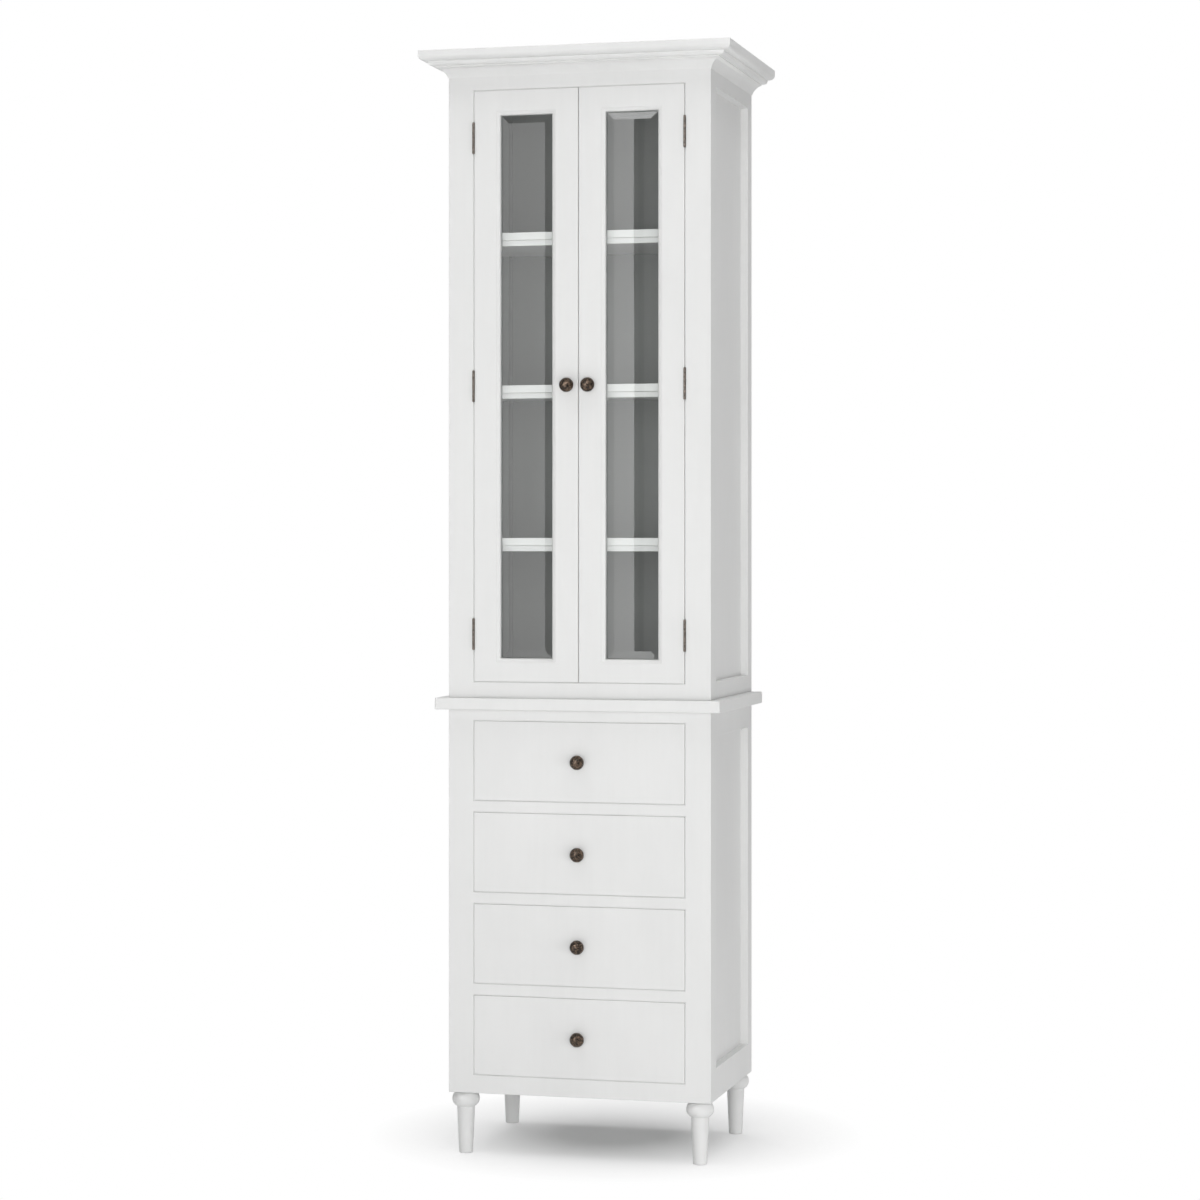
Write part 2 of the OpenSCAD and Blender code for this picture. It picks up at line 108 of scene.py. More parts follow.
def carried(section, path, outward, upward, closed=False):
    """Section carried along a path: point = path point + section u times the outward
    direction there + section v times the upward direction there. An open path gets end caps."""
    section = np.asarray(section, float)
    path = np.asarray(path, float)
    outward = np.broadcast_to(np.asarray(outward, float), path.shape)
    upward = np.broadcast_to(np.asarray(upward, float), path.shape)
    points = (
        path[:, None]
        + section[None, :, :1] * outward[:, None]
        + section[None, :, 1:] * upward[:, None]
    )
    rows, columns = points.shape[:2]
    faces = grid_quads(rows, columns, closed)
    if not closed:
        faces.append(list(range(columns)))
        faces.append([(rows - 1) * columns + k for k in reversed(range(columns))])
    return points.reshape(-1, 3), faces


def board(low, high):
    """Board between two opposite corners: a rectangle carried along its height."""
    low = np.asarray(low, float)
    high = np.asarray(high, float)
    section = [[low[0], low[1]], [high[0], low[1]], [high[0], high[1]], [low[0], high[1]]]
    path = [[0, 0, low[2]], [0, 0, high[2]]]
    return carried(section, path, [1, 0, 0], [0, 1, 0])


def turned(profile, centre, axis=(0, 0, 1), sides=64, ripple=0.0, lobes=8):
    """Turned shape: at angle a, profile point (radius, height) goes to radius * cos a and
    radius * sin a across the axis and to the height along it. A ripple makes the radius
    swell and shrink by that share a number of times round."""
    profile = np.asarray(profile, float)
    axis = np.asarray(axis, float)
    across = np.cross(axis, [0, 0, 1] if abs(axis[2]) < 0.9 else [1, 0, 0])
    across /= np.linalg.norm(across)
    along = np.cross(axis, across)
    angle = np.arange(sides) * 2 * np.pi / sides
    radius = profile[:, :1] * (1 + ripple * np.cos(lobes * angle))
    points = (
        np.asarray(centre, float)
        + (radius * np.cos(angle))[..., None] * across
        + (radius * np.sin(angle))[..., None] * along
        + profile[:, 1][:, None, None] * axis
    )
    return points.reshape(-1, 3), grid_quads(len(profile), sides)


def framework(outer, inner, kept):
    """Frame with openings: two matching grids of points, one on each face. A kept cell has a
    quad on both grids, and a wall joins them along every edge that just one kept cell has."""
    rows, columns = outer.shape[:2]
    count = rows * columns
    number = np.arange(count).reshape(rows, columns)
    cells = np.stack([number[:-1, :-1], number[:-1, 1:], number[1:, 1:], number[1:, :-1]], -1)[kept]
    padded = np.pad(kept, 1)
    level = padded[:-1, 1:-1] != padded[1:, 1:-1]
    upright = padded[1:-1, :-1] != padded[1:-1, 1:]
    starts = np.concatenate([number[:, :-1][level], number[:-1, :][upright]])
    ends = np.concatenate([number[:, 1:][level], number[1:, :][upright]])
    walls = np.stack([starts, ends, ends + count, starts + count], -1)
    faces = np.concatenate([cells, cells[:, ::-1] + count, walls])
    points = np.concatenate([outer.reshape(-1, 3), inner.reshape(-1, 3)])
    used, faces = np.unique(faces, return_inverse=True)
    return points[used], faces.reshape(-1, 4).tolist()


def wrapped(plan_outer, plan_inner, heights, kept):
    """Framework that stands on a plan: every plan point is repeated at each height."""
    heights = np.asarray(heights, float)

    def stand(plan):
        """Rows of the plan's points, one row at each height."""
        plan = np.asarray(plan, float)
        shape = (len(heights), len(plan))
        x = np.broadcast_to(plan[:, 0], shape)
        y = np.broadcast_to(plan[:, 1], shape)
        z = np.broadcast_to(heights[:, None], shape)
        return np.stack([x, y, z], -1)

    return framework(stand(plan_outer), stand(plan_inner), kept)


def arc(centre, radius, start, end, steps):
    """Points of a circular arc from one angle to another, in degrees."""
    angle = np.radians(np.linspace(start, end, steps + 1))
    return np.stack([centre[0] + radius * np.cos(angle), centre[1] + radius * np.sin(angle)], -1)


def joined(*solids):
    """Several solids as one."""
    points, faces, start = [], [], 0
    for solid_points, solid_faces in solids:
        points.append(solid_points)
        faces += [[k + start for k in face] for face in solid_faces]
        start += len(solid_points)
    return np.concatenate(points), faces


def mirrored(solid, side=-1):
    """The same solid on the other side of the middle, or unchanged for side 1."""
    points, faces = solid
    return points * np.array([side, 1, 1]), faces


def on_both_sides(solid):
    """A solid and its mirror image."""
    return joined(solid, mirrored(solid))


def repeated(solid, offsets):
    """The same solid moved by each offset."""
    points, faces = solid
    return joined(*[(points + np.asarray(offset, float), faces) for offset in offsets])


# ---------------------------------------------------------------- finishes
class Amount:
    """A number or colour that changes over a surface. Arithmetic on it adds Math nodes."""

    def __init__(self, nodes, socket):
        self.nodes = nodes
        self.socket = socket

    def _work(self, operation, first, second):
        return self.nodes.node("ShaderNodeMath", {"operation": operation}, {0: first, 1: second})

    def __add__(self, other):
        return self._work("ADD", self, other)

    def __radd__(self, other):
        return self._work("ADD", other, self)

    def __sub__(self, other):
        return self._work("SUBTRACT", self, other)

    def __rsub__(self, other):
        return self._work("SUBTRACT", other, self)

    def __mul__(self, other):
        return self._work("MULTIPLY", self, other)

    def __rmul__(self, other):
        return self._work("MULTIPLY", other, self)


class Nodes:
    """A tree of shader nodes, which starts empty."""

    def __init__(self, tree):
        self.tree = tree
        self.tree.nodes.clear()

    def node(self, kind, settings=(), values=(), output=0):
        """Adds a node, with its settings and then the values or links of its sockets."""
        made = self.tree.nodes.new(kind)
        for key, value in dict(settings).items():
            setattr(made, key, value)
        for key, value in dict(values).items():
            if isinstance(value, Amount):
                self.tree.links.new(value.socket, made.inputs[key])
            else:
                made.inputs[key].default_value = value
        return Amount(self, made.outputs[output]) if len(made.outputs) else None

    def seen_straight(self):
        """1 where the camera looks straight at a thing or through a pane, 0 for all other light."""
        straight = self.node("ShaderNodeLightPath", output="Is Camera Ray")
        through = self.node("ShaderNodeLightPath", output="Is Transmission Ray")
        bounces = self.node("ShaderNodeLightPath", output="Diffuse Depth")
        no_bounce = self.node("ShaderNodeMath", {"operation": "LESS_THAN"}, {0: bounces, 1: 0.5})
        return straight + through * no_bounce


class Finish(Nodes):
    """One material: its patterns, and coat() or show() to end it with the surface."""

    def __init__(self, name, slot):
        self.slot = slot
        self.material = bpy.data.materials.new(name)
        self.material.use_nodes = True
        super().__init__(self.material.node_tree)

    def place(self, axis):
        """Where the point lies along one axis."""
        point = self.node("ShaderNodeTexCoord", output="Object")
        return self.node("ShaderNodeSeparateXYZ", values={0: point}, output=axis)

    def placed(self, stretch=(1, 1, 1), shift=(0, 0, 0)):
        """Point of the surface, with the pattern drawn out by 1 / stretch."""
        point = self.node("ShaderNodeTexCoord", output="Object")
        values = {"Vector": point, "Location": shift, "Scale": stretch}
        return self.node("ShaderNodeMapping", values=values)

    def clouds(self, size, stretch=(1, 1, 1), detail=3.0, rough=0.5, shift=(0, 0, 0), warp=0.0):
        """Cloudy pattern with patches of about this size."""
        values = {"Vector": self.placed(stretch, shift), "Scale": 1 / size, "Detail": detail}
        values.update({"Roughness": rough, "Distortion": warp})
        return self.node("ShaderNodeTexNoise", values=values)

    def ranged(self, amount, low, high, to_low=0.0, to_high=1.0):
        """Amount from low..high moved to to_low..to_high, and held there."""
        values = {0: amount, 1: low, 2: high, 3: to_low, 4: to_high}
        return self.node("ShaderNodeMapRange", {"clamp": True}, values)

    def mixed(self, amount, first, second):
        """Colour between two colours."""
        return self.node("ShaderNodeMix", {"data_type": "RGBA"}, {0: amount, 6: first, 7: second}, 2)

    def relief(self, height, depth, strength=1.0, under=None):
        """Surface direction for a height pattern of this depth in metres."""
        values = {"Height": height, "Distance": depth, "Strength": strength}
        if under is not None:
            values["Normal"] = under
        return self.node("ShaderNodeBump", values=values)

    def coat(self, **values):
        """Ends the material with a Principled surface."""
        values = {name.replace("_", " "): value for name, value in values.items()}
        self.show(self.node("ShaderNodeBsdfPrincipled", values=values))

    def show(self, surface):
        """Ends the material with this surface."""
        self.node("ShaderNodeOutputMaterial", values={"Surface": surface})


def colour(red, green, blue):
    """Solid colour."""
    return (red, green, blue, 1.0)


def painted(name, slot, light, shade, gloss, inside=None):
    """Sprayed satin paint: faint clouding, a fine pebbled skin and grain just felt under it.
    With an inside colour, the faces that look into the case are that colour."""
    finish = Finish(name, slot)
    clouding = finish.clouds(0.16, stretch=(1, 1, 0.45), detail=4.0, rough=0.55)
    skin = finish.clouds(0.0022, detail=2.0, rough=0.5)
    pull = finish.clouds(0.012, stretch=(1, 1, 0.06), detail=4.0, rough=0.6, warp=0.3)
    dust = finish.clouds(0.0009, detail=1.0, shift=(3.1, 1.7, 0.4))
    tone = finish.ranged(clouding * 0.7 + pull * 0.2 + dust * 0.1, 0.36, 0.64)
    base = finish.mixed(tone, shade, light)
    if inside is not None:
        depth = finish.place(1)
        aside = finish.node("ShaderNodeMath", {"operation": "ABSOLUTE"}, {0: finish.place(0)})
        within = finish.ranged(aside, INNER_X + 1 * MM, INNER_X + 0.5 * MM)
        behind = finish.ranged(depth, INSIDE_Y - 1 * MM, INSIDE_Y - 0.5 * MM)
        before = finish.ranged(depth, BACK_Y + 2 * MM, BACK_Y + 1.5 * MM)
        base = finish.mixed(within * behind * before, base, inside)
    roughness = finish.ranged(clouding * 0.6 + skin * 0.4, 0.3, 0.7, gloss - 0.06, gloss + 0.08)
    grained = finish.relief(pull, 0.00006, 0.20)
    normal = finish.relief(skin, 0.00006, 0.5, grained)
    finish.coat(Base_Color=base, Roughness=roughness, Normal=normal, IOR=1.47)
    return finish


def wooden(name, along):
    """Pale planed wood: growth bands and pores drawn out along one axis."""
    finish = Finish(name, "bare_wood")
    drawn = [1.0, 1.0, 1.0]
    drawn[along] = 0.07
    bands = finish.clouds(0.011, stretch=tuple(drawn), detail=5.0, rough=0.62, warp=0.7)
    wide = finish.clouds(0.09, stretch=tuple(drawn), detail=2.0, shift=(0.7, 0.2, 1.3))
    drawn[along] = 0.03
    pores = finish.clouds(0.0011, stretch=tuple(drawn), detail=2.0, rough=0.7)
    tone = finish.ranged(bands * 0.62 + wide * 0.38, 0.36, 0.66)
    pale = finish.mixed(tone, colour(0.50, 0.365, 0.225), colour(0.71, 0.57, 0.40))
    pored = finish.ranged(pores, 0.58, 0.72)
    base = finish.mixed(pored * 0.45, pale, colour(0.33, 0.22, 0.13))
    roughness = finish.ranged(bands, 0.3, 0.7, 0.52, 0.66)
    normal = finish.relief(bands * 0.5 - pored * 0.5, 0.00014, 0.6)
    finish.coat(Base_Color=base, Roughness=roughness, Normal=normal, IOR=1.5)
    return finish


def antique_bronze(name, skin, copper):
    """Rubbed dark bronze: brown skin, copper where it is worn, small hammered flats."""
    finish = Finish(name, "bronze")
    patches = finish.clouds(0.0045, detail=5.0, rough=0.62, warp=0.5)
    fine = finish.clouds(0.0012, detail=3.0, rough=0.6)
    worn = finish.ranged(patches * 0.7 + fine * 0.3, 0.47, 0.68)
    base = finish.mixed(worn, skin, copper)
    roughness = finish.ranged(patches * 0.5 + fine * 0.5, 0.35, 0.65, 0.22, 0.42)
    flats = finish.node(
        "ShaderNodeTexVoronoi",
        {"feature": "SMOOTH_F1"},
        {"Vector": finish.placed(), "Scale": 1 / 0.0055, "Smoothness": 0.25},
    )
    hammered = finish.relief(flats, 0.0006, 0.35)
    normal = finish.relief(fine, 0.00008, 0.4, hammered)
    finish.coat(Base_Color=base, Metallic=0.92, Roughness=roughness, Normal=normal)
    return finish


def zinc_steel():
    """Zinc plated steel: grey with fine drawn scratches."""
    finish = Finish("zinc_steel", "steel")
    cloud = finish.clouds(0.008, detail=4.0, rough=0.6)
    drawn = finish.clouds(0.0010, stretch=(0.08, 1, 1), detail=3.0)
    tone = finish.ranged(cloud, 0.35, 0.65)
    base = finish.mixed(tone, colour(0.47, 0.48, 0.49), colour(0.66, 0.66, 0.65))
    roughness = finish.ranged(drawn * 0.5 + cloud * 0.5, 0.35, 0.65, 0.26, 0.42)
    normal = finish.relief(drawn, 0.00004, 0.5)
    finish.coat(Base_Color=base, Metallic=1.0, Roughness=roughness, Normal=normal)
    return finish


def window_glass():
    """Clear, slightly green drawn glass with faint waves. Lamps shine through it."""
    finish = Finish("window_glass", "glass")
    waves = finish.clouds(0.11, stretch=(1, 1, 0.35), detail=1.0)
    normal = finish.relief(waves, 0.0012, 0.05)
    smears = finish.clouds(0.05, detail=5.0, rough=0.62, shift=(0.4, 0.1, 2.2))
    roughness = finish.ranged(smears, 0.5, 0.8, 0.0, 0.035)
    clear = finish.node(
        "ShaderNodeBsdfPrincipled",
        values={
            "Base Color": colour(0.968, 0.982, 0.974),
            "Roughness": roughness,
            "IOR": 1.5,
            "Transmission Weight": 1.0,
            "Normal": normal,
        },
    )
    lamp = finish.node("ShaderNodeLightPath", output="Is Shadow Ray")
    through = finish.node("ShaderNodeBsdfTransparent", values={"Color": colour(0.965, 0.975, 0.970)})
    finish.show(finish.node("ShaderNodeMixShader", values={0: lamp, 1: clear, 2: through}))
    return finish


PAINT_LIGHT = colour(0.750, 0.751, 0.745)
PAINT_SHADE = colour(0.712, 0.714, 0.708)
PAINT = painted("satin_white_paint", "paint", PAINT_LIGHT, PAINT_SHADE, 0.40)
CASE_PAINT = painted(
    "satin_case_paint",
    "paint",
    PAINT_LIGHT,
    PAINT_SHADE,
    0.40,
    # The inside faces are a middle grey, as dark as the shaded inside of the case looks: partly paint
    # colour, partly painted shade.
    inside=colour(0.35, 0.36, 0.352),
)
# The shelves are a lighter copy of the white paint, so their edges behind the glass look as bright as
# the face: painted light.
SHELF_PAINT_LIT = painted(
    "shelf_paint_painted_lighter",
    "inner_paint",
    colour(0.87, 0.87, 0.865),
    colour(0.83, 0.83, 0.825),
    0.46,
)
# The floors inside the cases are a middle grey, as dark as the shaded inside looks: partly paint
# colour, partly painted shade.
INNER_PAINT_AND_SHADE = painted(
    "matt_inner_paint_and_painted_shade",
    "inner_paint",
    colour(0.37, 0.38, 0.372),
    colour(0.325, 0.335, 0.328),
    0.58,
)
WOOD_DEEP = wooden("planed_wood_front_to_back", 1)
WOOD_WIDE = wooden("planed_wood_side_to_side", 0)
BRONZE = antique_bronze("antique_bronze", colour(0.052, 0.044, 0.037), colour(0.33, 0.225, 0.16))
HINGE_BRONZE = antique_bronze("hinge_bronze", colour(0.150, 0.130, 0.115), colour(0.36, 0.30, 0.26))
STEEL = zinc_steel()
GLASS = window_glass()


# ---------------------------------------------------------------- making a piece
def new_object(name, solid):
    """Object from points and faces, with doubles merged and every face turned outwards."""
    points, faces = solid
    mesh = bpy.data.meshes.new(name)
    mesh.from_pydata(points.tolist(), [], faces)
    shape = bmesh.new()
    shape.from_mesh(mesh)
    bmesh.ops.remove_doubles(shape, verts=shape.verts, dist=1e-6)
    bmesh.ops.dissolve_degenerate(shape, edges=shape.edges, dist=1e-7)
    bmesh.ops.recalc_face_normals(shape, faces=shape.faces)
    shape.to_mesh(mesh)
    shape.free()
    made = bpy.data.objects.new(name, mesh)
    bpy.context.scene.collection.objects.link(made)
    return made


def settle(made):
    """Keeps the shape that the modifiers give as the object's own mesh."""
    whole = made.evaluated_get(bpy.context.evaluated_depsgraph_get())
    shaped = bpy.data.meshes.new_from_object(whole)
    rough = made.data
    made.modifiers.clear()
    made.data = shaped
    bpy.data.meshes.remove(rough)


def piece(name, solid, finish, body="case", instead_of=(), arris=0.0, cuts=(), steps=3):
    """A finished piece: softened arrises, recesses cut, shading evened, finish and body set."""
    made = new_object(name, solid)
    if arris:
        softened = made.modifiers.new("softened arris", "BEVEL")
        softened.width = arris
        softened.segments = steps
        softened.limit_method = "ANGLE"
        softened.angle_limit = math.radians(35)
        softened.use_clamp_overlap = True
        settle(made)
    for solid_cut in cuts:
        cutter = new_object(name + "_cutter", solid_cut)
        cut = made.modifiers.new("recess", "BOOLEAN")
        cut.operation = "DIFFERENCE"
        cut.solver = "EXACT"
        cut.object = cutter
        settle(made)
        bpy.data.objects.remove(cutter)
    made.data.shade_smooth()
    made.data.set_sharp_from_angle(angle=math.radians(38))
    evened = made.modifiers.new("evened shading", "WEIGHTED_NORMAL")
    evened.keep_sharp = True
    settle(made)
    made.name = name
    made.data.name = name
    made.data.materials.clear()
    made.data.materials.append(finish.material)
    if instead_of:
        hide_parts(*instead_of)
    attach(made, body)
    return made


def refinish(finish, *nodes):
    """Gives parts of the frame that keep their own shape a better finish."""
    for node in nodes:
        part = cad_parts[node]
        part.data.materials.clear()
        part.data.materials.append(finish.material)


# ---------------------------------------------------------------- measures taken from the frame
face_low, face_high = corners("upper_front_stiles")
front_y = face_low[1]
outer_x = face_high[0]
open_x = corners("upper_front_rails")[1][0]
side_high = corners("upper_side_frames")[1]
rear_y = side_high[1]
top_z = side_high[2]
door_low, door_high = corners("door_right_stiles")
pane_low, pane_high = corners("door_right_beads")
waist_low, waist_high = corners("waist_board")
base_low, base_high = corners("base_front_stiles")
hinge_low, hinge_high = corners("hinge_pins")
hinge_x = (door_high[0] + open_x) / 2
hinge_y = (hinge_low[1] + hinge_high[1]) / 2
hinge_zs = [
    door_low[2] + HINGE_FROM_END,
    (door_low[2] + door_high[2]) / 2,
    door_high[2] - HINGE_FROM_END,
]


# ---------------------------------------------------------------- case
def case_shell(low_z, high_z, panel_node, openings):
    """Face frame and side frames as one painted surface that goes round the case.
    openings lists the lowest and highest height of each opening in the front."""
    panel_low, panel_high = corners(panel_node)
    window = [panel_low[2] + REBATE, panel_high[2] - REBATE]
    front_stile_y = panel_low[1] + REBATE
    rear_stile_y = panel_high[1] - REBATE
    rebate_x = INNER_X + BACK_REBATE
    half_outer = [[open_x, front_y], [outer_x, front_y], [outer_x, front_stile_y]]
    half_inner = [[open_x, INSIDE_Y], [INNER_X, INSIDE_Y], [INNER_X, front_stile_y]]
    half_outer += [[outer_x, rear_stile_y], [outer_x, BACK_Y], [outer_x, BACK_Y + 1 * MM]]
    half_inner += [[INNER_X, rear_stile_y], [INNER_X, BACK_Y], [rebate_x, BACK_Y]]
    half_outer.append([outer_x, rear_y])
    half_inner.append([rebate_x, rear_y])
    plan_outer = [[-x, y] for x, y in reversed(half_outer)] + half_outer
    plan_inner = [[-x, y] for x, y in reversed(half_inner)] + half_inner
    heights = sorted({low_z, high_z, *window, *[z for pair in openings for z in pair]})
    middles = (np.array(heights)[1:] + np.array(heights)[:-1]) / 2
    kept = np.ones((len(heights) - 1, len(plan_outer) - 1), bool)
    front_column = len(half_outer) - 1
    for opening_low, opening_high in openings:
        kept[(middles > opening_low) & (middles < opening_high), front_column] = False
    in_window = (middles > window[0]) & (middles < window[1])
    # The window in each side frame is the third strip of the plan away from the front opening
    for column in [front_column - 3, front_column + 3]:
        kept[in_window, column] = False
    return wrapped(plan_outer, plan_inner, heights, kept)


def around_opening(section, across, heights):
    """Section carried round a rectangle with mitred corners: u towards the middle of the
    opening, v backwards from the face."""
    corner_x = np.array([across[0], across[1], across[1], across[0]])
    corner_z = np.array([heights[0], heights[0], heights[1], heights[1]])
    path = np.stack([corner_x, np.full(4, front_y), corner_z], -1)
    inward = [[1, 0, 1], [-1, 0, 1], [-1, 0, -1], [1, 0, -1]]
    return carried(section, path, inward, [0, 1, 0], closed=True)


def hinge_room(clear_low, clear_high, near_x, far_x):
    """Recesses for the hinges on the right: round grooves for the knuckles, this far below and
    above the middle of a hinge, and beds for the leaves, which lie between near_x and far_x."""
    grooves = []
    beds = []
    for z in hinge_zs:
        groove = [[0, -clear_low], [KNUCKLE_R + KNUCKLE_CLEAR, -clear_low]]
        groove += [[KNUCKLE_R + KNUCKLE_CLEAR, clear_high], [0, clear_high]]
        grooves.append(turned(groove, [hinge_x, hinge_y, z], sides=48))
        low = [near_x, front_y - BED_FRONT, z - HALF_HINGE]
        high = [far_x, hinge_y + LEAF_W, z + HALF_HINGE]
        beds.append(board(low, high))
    return [joined(*grooves), joined(*beds)]


case_room = hinge_room(
    HALF_HINGE + KNUCKLE_CLEAR,
    HALF_HINGE + KNUCKLE_CLEAR,
    open_x - BED_SIDE,
    hinge_x + LEAF_GAP + LEAF_T,
)
door_opening = [door_low[2] - DOOR_GAP, door_high[2] + DOOR_GAP]
piece(
    "upper_case",
    case_shell(face_low[2], top_z, "upper_side_panels", [door_opening]),
    CASE_PAINT,
    instead_of=["upper_front_stiles", "upper_front_rails", "upper_side_frames"],
    arris=ARRIS,
    cuts=[on_both_sides(room) for room in case_room],
)

drawer_openings = []
for number in range(1, 5):
    front_low, front_high = corners(f"drawer_{number}_front")
    drawer_openings.append([front_low[2] - DOOR_GAP, front_high[2] + DOOR_GAP])
piece(
    "lower_case",
    case_shell(base_low[2], base_high[2], "base_side_panels", drawer_openings),
    PAINT,
    instead_of=["base_front_stiles", "base_front_rails", "base_side_frames"],
    arris=ARRIS,
)

# Linings: strips 1.15 mm thick inside the edge of each opening, 1.6 to 16 mm behind the face
lining = np.array([[0, 1.6], [1.15, 1.6], [1.15, 16], [0, 16]]) * MM
linings = [around_opening(lining, [-open_x, open_x], pair) for pair in drawer_openings]
piece("drawer_opening_linings", joined(*linings), PAINT)
hinge_breaks = []
for z in hinge_zs:
    low = [door_high[0] - MM, front_y, z - HALF_HINGE - 2.5 * MM]
    high = [open_x + MM, INSIDE_Y, z + HALF_HINGE + 2.5 * MM]
    hinge_breaks.append(board(low, high))
piece(
    "door_opening_lining",
    around_opening(lining, [-open_x, open_x], door_opening),
    PAINT,
    cuts=[on_both_sides(joined(*hinge_breaks))],
)

side_boards = {"upper_side_boards": "upper_side_panels", "lower_side_boards": "base_side_panels"}
for name, node in side_boards.items():
    panel_low, panel_high = corners(node)
    low = [INNER_X + WALL_GAP, panel_low[1] + PANEL_IN, panel_low[2] + PANEL_IN]
    high = [panel_high[0], panel_high[1] - PANEL_IN, panel_high[2] - PANEL_IN]
    piece(name, on_both_sides(board(low, high)), CASE_PAINT, instead_of=[node], arris=0.5 * MM)

for name, node in {"upper_back_board": "upper_back", "lower_back_board": "base_back"}.items():
    low, high = corners(node)
    solid = board(low + WALL_GAP, high - WALL_GAP)
    piece(name, solid, CASE_PAINT, instead_of=[node], arris=FINE_ARRIS)

top_low, top_high = corners("upper_top")
top_low = top_low + [WALL_GAP, WALL_GAP, 0]
top_high = top_high - [WALL_GAP, WALL_GAP, WALL_GAP]
piece("top_board", board(top_low, top_high), PAINT, instead_of=["upper_top"], arris=FINE_ARRIS)

waist = board(waist_low, waist_high)
piece("waist_shelf", waist, PAINT, instead_of=["waist_board"], arris=2 * ARRIS, steps=4)

for level in ["lower", "middle", "upper"]:
    shelf_low, shelf_high = corners(f"shelf_{level}")
    plank = board([shelf_low[0], shelf_low[1], shelf_high[2] - SHELF_T], shelf_high)
    batten_y = shelf_low[1] + BATTEN_SET_BACK
    batten = board(
        [-open_x, batten_y, shelf_low[2]],
        [open_x, batten_y + BATTEN_T, shelf_high[2] - SHELF_T - 0.2 * MM],
    )
    piece(
        f"shelf_board_{level}",
        joined(plank, batten),
        SHELF_PAINT_LIT,
        instead_of=[f"shelf_{level}"],
        arris=ARRIS,
    )

# Shelf pins: a short rod with a rounded end, pushed into the side
pin_low, pin_high = corners("shelf_pins")
pin_side = [[0, 0], [1.7, 0], [2.2, 0.25], [2.5, 0.8], [2.5, 17], [0, 17]]
pins = []
for level in ["lower", "middle", "upper"]:
    shelf_high = corners(f"shelf_{level}")[1]
    for y in [pin_low[1] + SHELF_PIN_R, pin_high[1] - SHELF_PIN_R]:
        centre = [INNER_X - SHELF_PIN_DEPTH, y, shelf_high[2] - SHELF_T - SHELF_PIN_R]
        pins.append(turned(np.array(pin_side) * MM, centre, axis=(1, 0, 0), sides=24))
piece("shelf_rest_pins", on_both_sides(joined(*pins)), STEEL, instead_of=["shelf_pins"])


# ---------------------------------------------------------------- crown
def crown_section():
    """Outline of the crown in millimetres, as (how far it stands out, height): a cove, a
    fillet, an ovolo, a fillet and a rounded nose under a square top."""
    cove = arc([29.40, -9.64], 30.0, 161.25, 107.25, 14)
    ovolo = arc([26.0, 28.0], 7.0, -90, 0, 8)
    nose = arc([38.0, 39.0], 10.0, -90, 0, 10)
    lip = arc([46.6, 47.6], 1.4, 0, 90, 4)
    fillet = [[20.5, 20.7], [20.8, 21.0]]
    upper_fillet = [[33, 28.8], [33.2, 29]]
    rows = [[[0, 0]], cove, fillet, ovolo, upper_fillet, nose, lip, [[0, 49]]]
    return np.concatenate([np.asarray(row, float) for row in rows]) * MM


crown_low = corners("crown_front")[0]
half_crown = np.array([[outer_x, front_y, crown_low[2]], [outer_x, rear_y, crown_low[2]]])
crown_path = np.concatenate([half_crown[::-1] * [-1, 1, 1], half_crown])
crown_ways = [[-1, 0, 0], [-1, -1, 0], [1, -1, 0], [1, 0, 0]]
piece(
    "crown_moulding",
    carried(crown_section(), crown_path, crown_ways, [0, 0, 1]),
    PAINT,
    instead_of=["crown_front", "crown_sides"],
)


# ---------------------------------------------------------------- legs
def leg_profile():
    """Half outline of a leg in millimetres: tapered shaft, a flattened ball, and a short neck
    that leaves a shadow line under the case."""
    ball = arc([10.5, 106.0], 16.5, -64.9, 52.0, 20)
    foot = [[0, 0], [12.4, 0], [13.1, 0.3], [13.5, 1.0]]
    shaft = np.stack([np.linspace(13.62, 17.5, 8), np.linspace(3.5, 89.6, 8)], -1)
    neck = [[18.6, 119.4], [14.5, 119.5], [14.5, 121.0], [0, 121.0]]
    rows = [foot, shaft, [[17.5, 90.9]], ball, neck]
    return np.concatenate([np.asarray(row, float) for row in rows]) * MM


leg_low, leg_high = corners("legs")
leg_xs = [LEG_R - outer_x, outer_x - LEG_R]
leg_ys = [leg_low[1] + LEG_R, leg_high[1] - LEG_R]
leg_spots = [[x, y, 0] for x in leg_xs for y in leg_ys]
legs = repeated(turned(leg_profile(), [0, 0, 0], sides=72), leg_spots)
piece("turned_legs", legs, PAINT, instead_of=["legs"])


# ---------------------------------------------------------------- knobs
def knob_profile():
    """Half outline of a knob in millimetres, from the face outwards: a small foot, a waisted
    neck, a rolled rim and a low dome, then the bolt and its head behind the board."""
    bolt = [[0, -22.6], [3.6, -22.6], [4.3, -22.2], [4.5, -21.4], [4.5, -20.0]]
    bolt += [[2.0, -20.0], [2.0, -0.2]]
    foot = [[8.1, 0.0], [8.5, 0.4], [8.5, 1.3], [8.1, 1.9], [7.2, 2.3]]
    neck = [[6.2, 3.0], [5.6, 4.2], [5.5, 5.6], [5.8, 7.0], [6.8, 8.2], [8.6, 8.8]]
    rim = arc([11.0, 12.0], 3.0, -100, 0, 8)
    angle = np.radians(np.linspace(6, 90, 16))
    dome = np.stack([14.0 * np.cos(angle), 12.0 + 12.0 * np.sin(angle)], -1)
    return np.concatenate([np.asarray(row, float) for row in [bolt, foot, neck, rim, dome]]) * MM


def knob_at(node):
    """Knob in the middle of its place in the frame, turned about the way out of the face."""
    low, high = corners(node)
    centre = [(low[0] + high[0]) / 2, front_y, (low[2] + high[2]) / 2]
    return turned(knob_profile(), centre, axis=(0, -1, 0), sides=64, ripple=-0.006)


